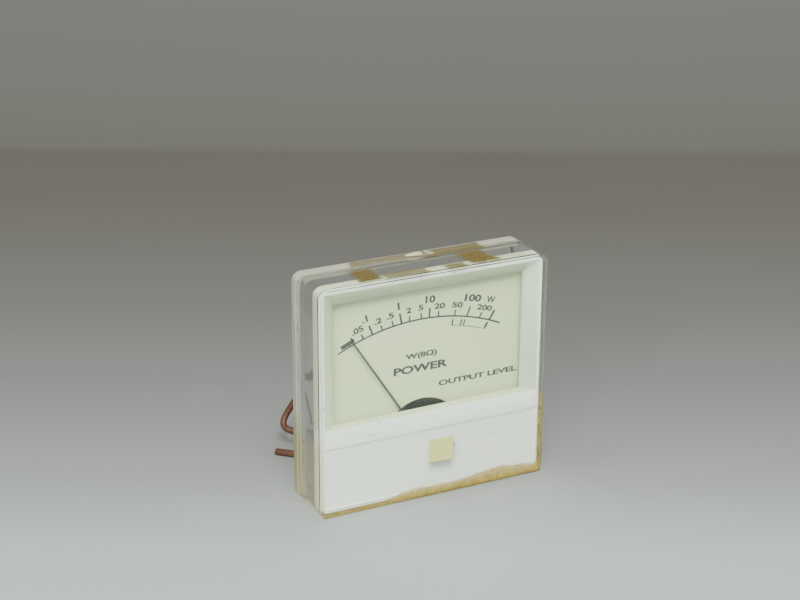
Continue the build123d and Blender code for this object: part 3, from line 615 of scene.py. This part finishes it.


# ---- Dial plate and its print ----
# A sheet of aluminium painted pale green and screened in dark grey-green: a power scale in watts, its numbers
# turned with the arc, a dotted range under it, and plain captions. Two slotted screws hold it. Painted light makes
# the green lighter towards the top, with a painted shadow band just under the window's top edge.
def dial_paint():
    finish = Finish("dial_paint")
    x, y, z = finish.axes()
    cloud = finish.noise(40, 3)
    # Lighter towards the top: partly the paint's own tone, partly painted light from above.
    colour = finish.blend(z.above(0.042, 0.04), paint(212, 226, 183), paint(220, 234, 190))
    colour = finish.blend(cloud * 0.30, colour, paint(210, 224, 180))
    # Painted shadow: a darker band along the top, where the window's top bevel shades the dial.
    colour = finish.blend(z.above(0.0542, 0.0012) * 0.7, colour, paint(196, 208, 176))
    peel = finish.noise(1300, 2)
    back = y.above(-0.0014, 0.0001)
    rolled = finish.noise(900, 3, 0.6, finish.stretched(0.3, 1, 6))
    colour = finish.blend(back, colour, finish.blend(rolled, paint(176, 178, 176), paint(202, 204, 202)))
    return finish.done(finish.skin(
        Base_Color=colour, Metallic=back, Roughness=0.46 + 0.1 * cloud - 0.1 * back * rolled,
        Specular_IOR_Level=0.35, Normal=finish.relief(peel + rolled * back, 0.08, 0.00005)))


plate_metal = dial_paint()
nodes["dial_plate"].data.materials[0] = plate_metal

DIAL_FACE = 6.5
INK_T, INK_GAP = 0.02, 0.002            # the ink's own thickness, and how far it stands off the paint
INK_SPREAD = 0.19                       # how much wider the ink ran than each bar was drawn
ARC_CENTRE = (-1.19, -7.36)
ARC_R, ARC_W = 55.0, 0.46
ARC_ENDS = (-25.6, 25.1)
TICKS = [((-20.58, 44.93), (-21.31, 46.05), 0.30), ((-17.72, 45.08), (-18.29, 46.45), 0.26),
         ((-15.14, 45.90), (-16.17, 48.45), 0.34), ((-12.26, 46.50), (-12.95, 48.00), 0.26),
         ((-9.19, 46.96), (-9.66, 48.65), 0.26), ((-6.86, 47.33), (-7.46, 50.20), 0.38),
         ((-4.59, 47.49), (-4.60, 49.05), 0.26), ((-1.19, 47.74), (-1.32, 49.32), 0.26),
         ((1.18, 47.61), (1.20, 50.28), 0.34), ((3.72, 47.51), (3.82, 49.00), 0.26),
         ((8.51, 46.92), (8.72, 48.45), 0.26), ((12.13, 46.07), (13.10, 48.55), 0.32),
         ((15.91, 44.97), (16.60, 46.44), 0.26), ((18.86, 43.90), (20.45, 46.35), 0.46),
         ((8.04, 46.04), (7.77, 44.29), 0.24), ((10.75, 45.57), (10.18, 43.87), 0.24),
         ((11.66, 45.31), (11.09, 43.71), 0.24), ((18.38, 43.29), (17.50, 41.85), 0.48)]
START_BAR = ((-24.0, 43.7), (-20.3, 45.25), 1.15)
DOTS, DOT_RING, DOT_W = 27, 52.42, 0.30
DOT_START, DOT_PITCH, DOT_REACH = 9.6, 0.43, 0.24       # degrees round the arc
CAPTIONS = [(".05", -19.43, 47.75, 3.4, 1.7, -17.5), (".1", -17.43, 50.43, 1.7, 2.0, -14.8),
            (".2", -13.70, 49.23, 2.3, 1.6, -11.8), (".5", -10.24, 50.02, 2.3, 1.6, -8.5),
            ("1", -7.79, 52.25, 0.62, 2.0, -6.0), ("2", -4.87, 50.62, 1.5, 1.6, -3.5),
            ("5", -1.36, 50.77, 1.5, 1.6, 0), ("10", 1.35, 52.62, 2.9, 2.0, 2.5),
            ("20", 4.10, 50.35, 3.2, 1.6, 5.1), ("50", 9.33, 49.72, 3.2, 1.6, 10.1),
            ("100", 13.90, 50.84, 5.0, 2.0, 12), ("W", 19.24, 49.47, 2.7, 1.8, 14),
            ("200", 17.43, 47.54, 4.6, 1.6, 16),
            ("W(8Ω)", -1.09, 37.65, 9.2, 2.0, 0), ("POWER", -1.20, 34.21, 15.8, 2.2, 0),
            ("OUTPUT LEVEL", 15.8, 28.7, 23.4, 1.55, 0)]


def stroke(shape, start, end, width):
    """A printed bar between two places on the dial."""
    start, end = Vector(start), Vector(end)
    side = (end - start).normalized().orthogonal() * width / 2
    fronts, backs = [], []
    for place in (start - side, start + side, end + side, end - side):
        fronts.append(shape.verts.new(at(place.x, DIAL_FACE - INK_T, place.y)))
        backs.append(shape.verts.new(at(place.x, DIAL_FACE - INK_GAP, place.y)))
    shape.faces.new(fronts)
    shape.faces.new(backs[::-1])
    for n in range(4):
        m = (n + 1) % 4
        shape.faces.new([fronts[n], backs[n], backs[m], fronts[m]])


def on_arc(radius, degrees):
    a = math.radians(degrees)
    return ARC_CENTRE[0] + radius * math.sin(a), ARC_CENTRE[1] + radius * math.cos(a)


def ring_stroke(shape, radius, start, end, width, steps):
    """A printed arc, as one closed ribbon."""
    rings = []
    for n in range(steps + 1):
        degrees = start + (end - start) * n / steps
        inner, outer = on_arc(radius - width / 2, degrees), on_arc(radius + width / 2, degrees)
        rings.append([shape.verts.new(at(p[0], depth, p[1])) for p, depth in (
            (inner, DIAL_FACE - INK_T), (outer, DIAL_FACE - INK_T),
            (outer, DIAL_FACE - INK_GAP), (inner, DIAL_FACE - INK_GAP))])
    for here, there in zip(rings, rings[1:]):
        for n in range(4):
            m = (n + 1) % 4
            shape.faces.new([here[n], here[m], there[m], there[n]])
    shape.faces.new(rings[0][::-1])
    shape.faces.new(rings[-1])


def dial_ink():
    finish = Finish("dial_ink")
    worn = finish.noise(1500, 4, 0.7)
    colour = finish.blend(worn, paint(44, 50, 43), paint(66, 72, 62))
    return finish.done(finish.skin(Base_Color=colour, Roughness=0.5 + 0.2 * worn,
                                   Normal=finish.relief(worn, 0.2, 0.00002)))


def printed(name, shape):
    piece = solid(name, shape, "case")
    piece.data.materials.append(ink)
    return piece


def lettering(text, x, z, width, height, turn):
    """A caption fitted to its width and height, turned clockwise with the scale."""
    line = bpy.data.curves.new("words", "FONT")
    line.body = text
    line.extrude = 0.05
    line.offset = 0.042
    holder = bpy.data.objects.new("words", line)
    bpy.context.scene.collection.objects.link(holder)
    bpy.context.view_layer.update()
    mesh = bpy.data.meshes.new_from_object(holder)
    bpy.data.objects.remove(holder)
    corners = [v.co for v in mesh.vertices]
    low = Vector([min(c[i] for c in corners) for i in range(3)])
    high = Vector([max(c[i] for c in corners) for i in range(3)])
    middle = (low + high) / 2
    spin = Matrix.Rotation(-math.radians(turn), 2)
    for vert in mesh.vertices:
        flat = Vector(((vert.co.x - middle.x) * width / (high.x - low.x),
                       (vert.co.y - middle.y) * height / (high.y - low.y)))
        flat = spin @ flat
        near_side = vert.co.z > middle.z
        vert.co = at(x + flat.x, DIAL_FACE - (INK_T if near_side else INK_GAP), z + flat.y)
    shape = bmesh.new()
    shape.from_mesh(mesh)
    bmesh.ops.remove_doubles(shape, verts=shape.verts, dist=1e-7)
    bpy.data.meshes.remove(mesh)
    return shape


ink = dial_ink()
scale = bmesh.new()
ring_stroke(scale, ARC_R, *ARC_ENDS, ARC_W, 90)
for start, end, width in TICKS:
    stroke(scale, start, end, width + INK_SPREAD)
stroke(scale, *START_BAR)
for n in range(DOTS):
    degrees = DOT_START + n * DOT_PITCH
    stroke(scale, on_arc(DOT_RING, degrees), on_arc(DOT_RING, degrees + DOT_REACH), DOT_W)
printed("dial_scale", scale)
all_words = bmesh.new()
for caption in CAPTIONS:
    lettered = lettering(*caption)
    letters = bpy.data.meshes.new("letters")
    lettered.to_mesh(letters)
    lettered.free()
    all_words.from_mesh(letters)
    bpy.data.meshes.remove(letters)
printed("dial_captions", all_words)

# ---- Needle and its carrier ----
# A thin aluminium blade enamelled dark grey, in a stamped cross with brass balance sleeves on its short arms.
brass = metal("turned_brass", (206, 176, 104), (146, 116, 66), 0.26, 0.5)
steel = metal("screw_steel", (176, 176, 172), (112, 106, 96), 0.26, 0.4)
blackened = metal("blackened_steel", (54, 54, 52), (78, 70, 60), 0.48, 0.6)


def enamel(name, colour, dusty, shine):
    """Paint or plastic with a little dust and a soft orange peel."""
    finish = Finish(name)
    dust = finish.noise(520, 4, 0.65)
    peel = finish.noise(1600, 2)
    return finish.done(finish.skin(
        Base_Color=finish.blend(dust.above(0.55, 0.3) * 0.5, paint(*colour), paint(*dusty)),
        Roughness=shine + 0.2 * dust, Specular_IOR_Level=0.4, Normal=finish.relief(peel, 0.2, 0.00005)))


eased("pointer", "needle_blade", "needle", enamel("needle_paint", (62, 66, 60), (92, 95, 86), 0.38), 0.05, 1)
eased("pointer_hub", "needle_cross", "needle", enamel("cross_paint", (48, 50, 47), (80, 82, 74), 0.42), 0.05, 1)
eased("balance_weights", "balance_sleeves", "needle", brass, 0.06)

# ---- Movement ----
# Moving-coil movement on a phenolic frame: an iron yoke ring round a magnet core, a coil of enamelled copper on an
# aluminium former, jewelled brass screws in nickel-silver bridges, and two phosphor-bronze hairsprings.
nickel_silver = metal("nickel_silver", (196, 192, 178), (150, 140, 118), 0.24, 0.35, (1, 1, 8))
aluminium = metal("former_aluminium", (196, 198, 200), (160, 160, 158), 0.30)
bronze = metal("spring_bronze", (190, 132, 84), (140, 92, 60), 0.24)
magnet = metal("cast_magnet", (104, 102, 98), (70, 66, 60), 0.50, 0.6)
solder = metal("old_solder", (186, 186, 182), (138, 136, 130), 0.34, 0.5)
phenolic = enamel("phenolic_board", (50, 42, 38), (76, 66, 58), 0.40)
fibre = enamel("red_fibre", (142, 62, 44), (164, 92, 70), 0.6)
ivory = enamel("ivory_nylon", (214, 210, 196), (190, 184, 164), 0.36)

for node, body, material, round_off in (
    ("yoke_ring", "case", blackened, 0.20), ("core_magnet", "case", magnet, 0.15),
    ("core_webs", "case", brass, 0.08), ("movement_frame", "case", phenolic, 0.12),
    ("frame_screws", "case", steel, 0.06), ("dial_screws", "case", steel, 0.06),
    ("bridge_screws", "case", steel, 0.06), ("front_bridge", "case", nickel_silver, 0.07),
    ("rear_bridge", "case", nickel_silver, 0.07), ("bridge_posts", "case", brass, 0.06),
    ("front_jewel_screw", "case", brass, 0.05), ("rear_jewel_screw", "case", brass, 0.05),
    ("jewel_nut", "case", brass, 0.07), ("abutment_washer", "case", fibre, 0.02),
    ("front_abutment", "case", brass, 0.03), ("pointer_stops", "case", brass, 0.08),
    ("coil_former", "needle", aluminium, 0.03), ("front_pivot", "needle", steel, 0.02),
    ("rear_pivot", "needle", steel, 0.02), ("spring_collets", "needle", brass, 0.03),
    ("zero_lever", "zero_lever_body", brass, 0.03), ("zero_adjuster", "zero_adjuster_body", ivory, 0.10),
):
    eased(node, node + "_made", body, material, round_off)
for node in ("front_hairspring", "rear_hairspring"):
    nodes[node].data.materials[0] = bronze
nodes["link_wires"].data.materials[0] = tinned

# ---- Coil winding ----
# Fine enamelled copper wire wound in close turns round the former, its outer layer showing as ribs.
AXIS = (-0.8, 14.0)
COIL_REST = -33.2
COIL_HALF, COIL_WIDTH, COIL_WALL = 5.5, 2.5, 0.49
WIRE_R, TURNS = 0.11, 11
OUTER_BEND, INNER_BEND = 0.35, 0.12
PACK_MARGIN = 0.02                      # the body under the ribs stops this far short of each edge


def copper_enamel():
    finish = Finish("enamelled_copper")
    shade = finish.noise(900, 3)
    colour = finish.blend(shade, paint(150, 74, 40), paint(186, 104, 58))
    return finish.done(finish.skin(Base_Color=colour, Metallic=0.7, Roughness=0.26 + 0.15 * shade,
                                   Coat_Weight=0.4, Normal=finish.relief(shade, 0.1, 0.00003)))


def coil_turns():
    low, high = (Vector(v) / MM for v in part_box("coil_winding"))
    front, back = low.y + HALF_DEPTH, high.y + HALF_DEPTH
    lean = math.radians(COIL_REST)
    shape = bmesh.new()

    def swing(x, depth, z):
        """From the coil's own upright position to where it rests."""
        return at(AXIS[0] + x * math.cos(lean) + z * math.sin(lean), depth,
                  AXIS[1] - x * math.sin(lean) + z * math.cos(lean))

    def loop(inset, corner, z):
        path = []
        for sx, sy, start in ((1, 1, 0), (-1, 1, 90), (-1, -1, 180), (1, -1, 270)):
            for n in range(6):
                a = math.radians(start + 18 * n)
                cx = sx * (COIL_HALF - inset - corner)
                cy = (back - inset - corner) if sy > 0 else (front + inset + corner)
                path.append((cx + corner * math.cos(a), cy + corner * math.sin(a), z))
        return path

    for t in range(TURNS):
        z = (t + 0.5) / TURNS * COIL_WIDTH - COIL_WIDTH / 2
        path = loop(WIRE_R, OUTER_BEND, z)
        middle = Vector((0, (front + back) / 2))
        rings = []
        for x, depth, height in path:
            outward = (Vector((x, depth)) - middle).normalized()
            rings.append([shape.verts.new(swing(
                x + outward.x * WIRE_R * math.cos(k * math.pi / 4),
                depth + outward.y * WIRE_R * math.cos(k * math.pi / 4),
                height + WIRE_R * math.sin(k * math.pi / 4))) for k in range(8)])
        for here, there in zip(rings, rings[1:] + rings[:1]):
            for k in range(8):
                m = (k + 1) % 8
                shape.faces.new([here[k], here[m], there[m], there[k]])
    edges = []
    for z in (-COIL_WIDTH / 2 + PACK_MARGIN, COIL_WIDTH / 2 - PACK_MARGIN):
        for inset, corner in ((WIRE_R, OUTER_BEND), (COIL_WALL, INNER_BEND)):
            edges.append([shape.verts.new(swing(*p)) for p in loop(inset, corner, z)])
    lower_out, lower_in, upper_out, upper_in = edges
    for first, second in ((lower_out, upper_out), (upper_out, upper_in),
                          (upper_in, lower_in), (lower_in, lower_out)):
        for n in range(len(first)):
            m = (n + 1) % len(first)
            shape.faces.new([first[n], first[m], second[m], second[n]])
    return solid("coil_turns", shape, "needle")


winding = smoothed(coil_turns())
winding.data.materials.append(copper_enamel())
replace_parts(winding, "coil_winding")

# ---- Terminals ----
# Two headed brass studs through the rear wall, each with a tinned solder tag under a nut. The thread is cut up to
# a plain end, and the nuts' corners are turned off.
STUD_R, PILOT_R = 1.5, 1.2
PITCH_T, THREAD_DEPTH = 0.5, 0.24
STUD_X = (-13.8, 12.2)
STUD_Z = 32.0
TRAY_FLOOR, REAR_FACE, THREAD_END, STUD_END = 15.1, 16.5, 19.6, 22.0
HEAD_R, HEAD_T = 2.6, 0.9
THREAD_STEPS, STUD_SIDES = 44, 40


def stud_profile():
    """Depth, radius and share of thread, from the head's front to the stud's end."""
    front, start = TRAY_FLOOR - HEAD_T, REAR_FACE + 0.5
    rows = [(front, 0.0, 0), (front, HEAD_R - 0.35, 0), (front + 0.1, HEAD_R - 0.1, 0), (front + 0.3, HEAD_R, 0),
            (TRAY_FLOOR - 0.1, HEAD_R, 0), (TRAY_FLOOR - 0.02, HEAD_R - 0.1, 0), (TRAY_FLOOR, HEAD_R - 0.2, 0),
            (TRAY_FLOOR, STUD_R, 0), (REAR_FACE + 0.4, STUD_R, 0)]
    rows += [(start + (THREAD_END - 0.1 - start) * n / THREAD_STEPS, STUD_R, min(1, n / 3))
             for n in range(THREAD_STEPS + 1)]
    rows += [(THREAD_END, PILOT_R + 0.1, 0), (THREAD_END + 0.02, PILOT_R, 0), (STUD_END - 0.32, PILOT_R, 0),
             (STUD_END - 0.08, PILOT_R - 0.24, 0), (STUD_END, PILOT_R - 0.36, 0), (STUD_END, 0.0, 0)]
    return rows


def stud(x, name):
    shape = bmesh.new()
    rings = []
    for depth, radius, share in stud_profile():
        if radius == 0:
            rings.append([shape.verts.new(at(x, depth, STUD_Z))])
            continue
        ring = []
        for k in range(STUD_SIDES):
            a = 2 * math.pi * k / STUD_SIDES
            wave = abs(((depth / PITCH_T - k / STUD_SIDES) % 1) * 2 - 1)
            r = radius - share * THREAD_DEPTH * wave
            ring.append(shape.verts.new(at(x + r * math.cos(a), depth, STUD_Z + r * math.sin(a))))
        rings.append(ring)
    for here, there in zip(rings, rings[1:]):
        for k in range(STUD_SIDES):
            m = (k + 1) % STUD_SIDES
            if len(here) == 1:
                shape.faces.new([here[0], there[k], there[m]])
            elif len(there) == 1:
                shape.faces.new([here[k], here[m], there[0]])
            else:
                shape.faces.new([here[k], here[m], there[m], there[k]])
    piece = solid(name, shape, "case")
    piece.data.materials.append(brass)
    return piece


for x, side in zip(STUD_X, ("left", "right")):
    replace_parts(stud(x, "stud_" + side), "terminal_studs")
eased("terminal_nuts", "stud_nuts", "case", metal("nut_plate", (188, 184, 172), (140, 128, 100), 0.24, 0.4), 0.18)
eased("solder_tags", "tinned_tags", "case", metal("tag_tin", (186, 182, 172), (136, 124, 104), 0.30, 0.5), 0.08)


BEAD_R = 1.18


def solder_beads():
    """Solder drawn up over each bared lead and down to the tag, higher in the middle."""
    low, high = (Vector(v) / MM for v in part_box("solder_joints"))
    shape = bmesh.new()
    for x in STUD_X:
        rows, sides = 14, 16
        rings = []
        for n in range(rows + 1):
            t = n / rows
            depth = low.y + HALF_DEPTH + (high.y - low.y) * t
            size = math.sin(math.pi * (0.06 + 0.86 * t)) ** 0.5
            ring = []
            for k in range(sides + 1):
                a = math.pi * k / sides
                reach = BEAD_R * size * (1 + 0.03 * math.sin(7 * t + 3 * a + x))
                ring.append(shape.verts.new(at(
                    x + reach * math.cos(a), depth, low.z + reach * math.sin(a))))
            rings.append(ring)
        for here, there in zip(rings, rings[1:]):
            for k in range(sides):
                shape.faces.new([here[k], here[k + 1], there[k + 1], there[k]])
            shape.faces.new([here[0], there[0], there[-1], here[-1]])
        shape.faces.new(rings[0])
        shape.faces.new(rings[-1][::-1])
    return solid("solder_beads", shape, "case")


beads = smoothed(solder_beads())
beads.data.materials.append(solder)
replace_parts(beads, "solder_joints")
